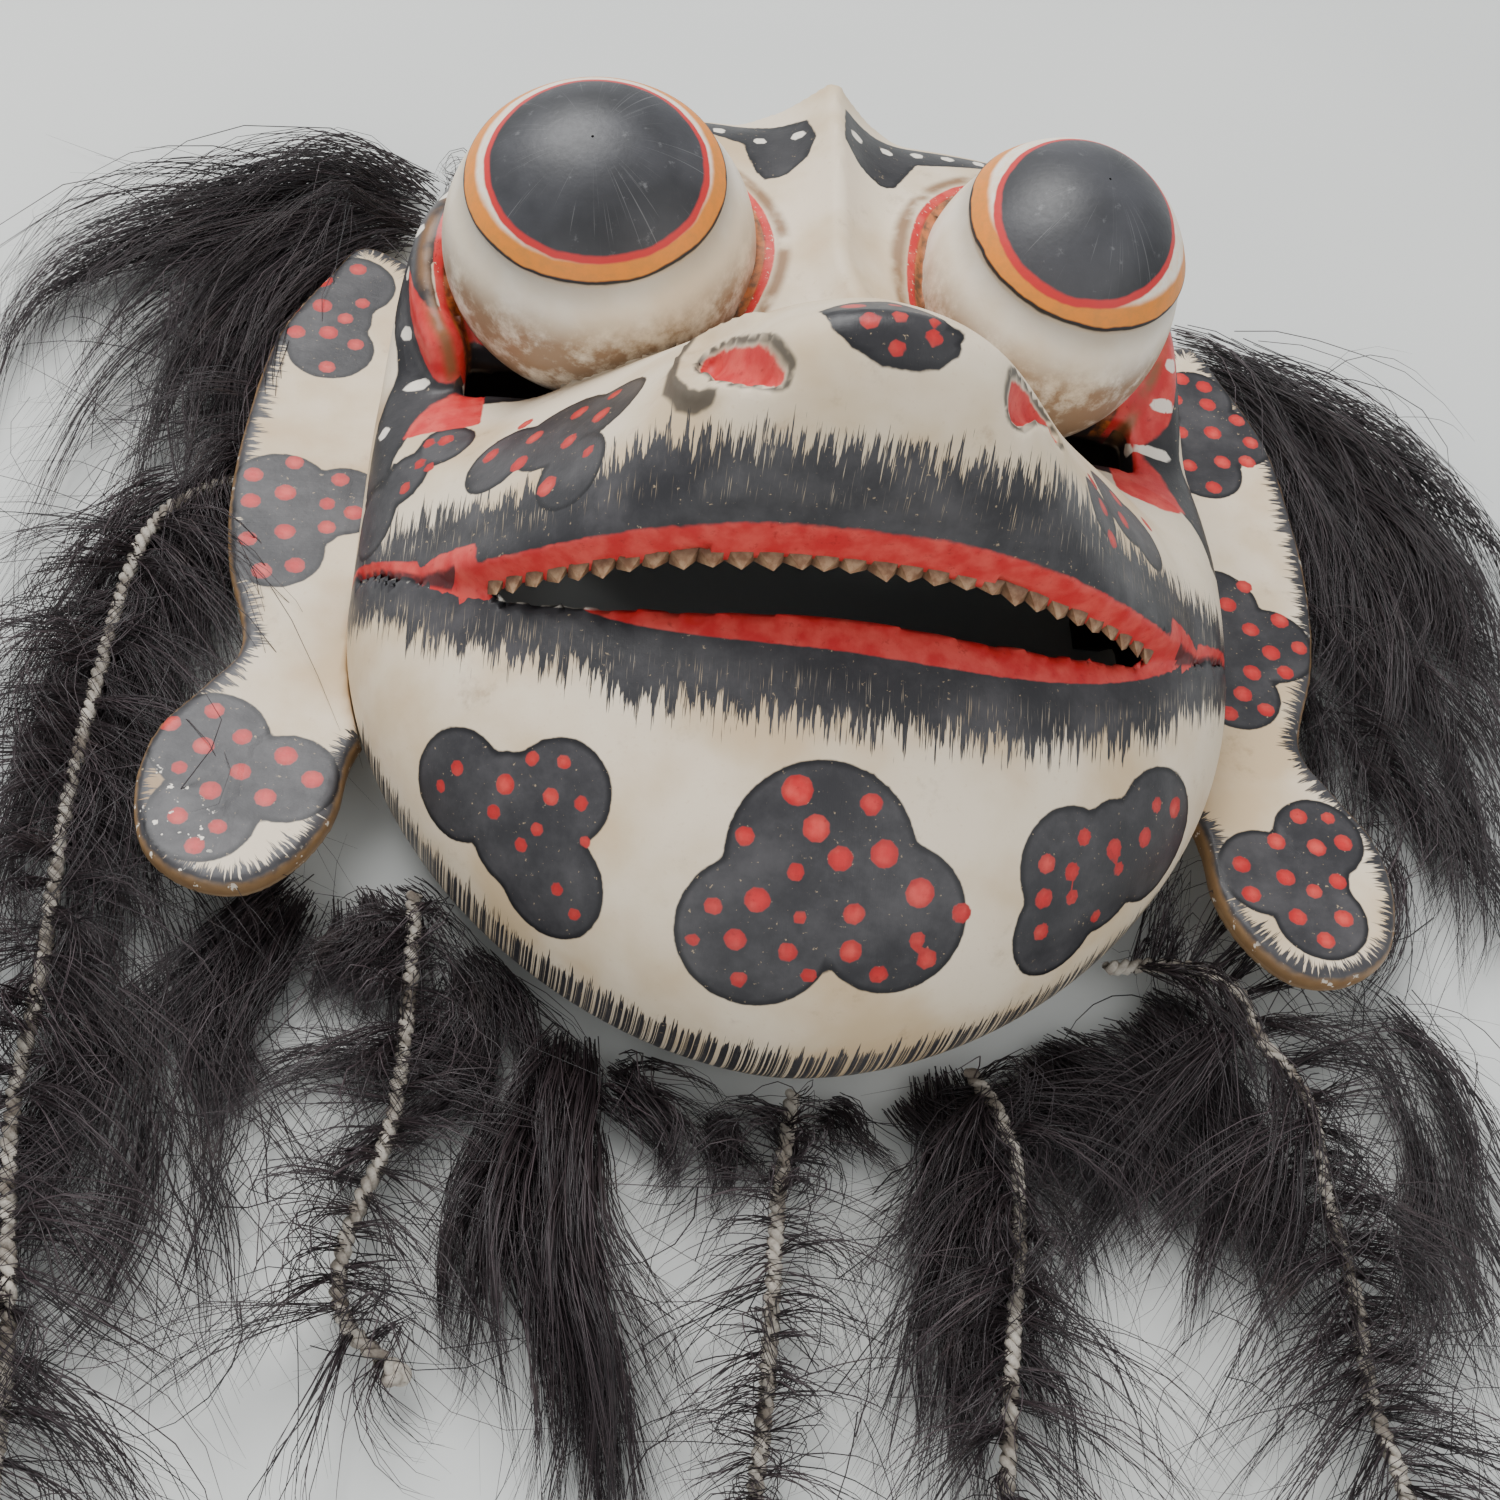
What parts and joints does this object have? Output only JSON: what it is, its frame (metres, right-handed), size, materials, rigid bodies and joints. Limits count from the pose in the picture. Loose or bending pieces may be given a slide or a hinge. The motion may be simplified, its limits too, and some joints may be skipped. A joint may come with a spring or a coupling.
{
  "type": "frog dance mask",
  "caption": "Carved and painted wooden frog dance mask lying face up, with side boards, corded hair strings and dark hair locks.",
  "frame": {"origin": "on the surface under the back rim, below the middle of the mask and its free locks", "axes": "+X towards the viewer's right of the face, +Y from the chin to the crown, +Z from the back rim out of the face"},
  "size_m": [0.401, 0.3812, 0.1475],
  "materials": {
    "head wood": "matt paint",
    "left board wood": "matt paint",
    "right board wood": "matt paint",
    "hair": "satin",
    "cord": "matt"
  },
  "bodies": {
    "root": {"head": "head wood", "board_left": "left board wood", "board_right": "right board wood", "lock_chin_left": "hair", "lock_left_top": "hair", "lock_right_outer": "hair", "cord_left_outer": "cord", "knot_left_outer": "cord", "hair_left_outer": "hair", "cord_left_inner": "cord", "knot_left_inner": "cord", "hair_left_inner": "hair", "cord_chin": "cord", "knot_chin": "cord", "hair_chin": "hair", "cord_right_inner": "cord", "knot_right_inner": "cord", "hair_right_inner": "hair", "cord_right_outer": "cord", "knot_right_outer": "cord", "hair_right_outer": "hair"}
  },
  "joints": []
}
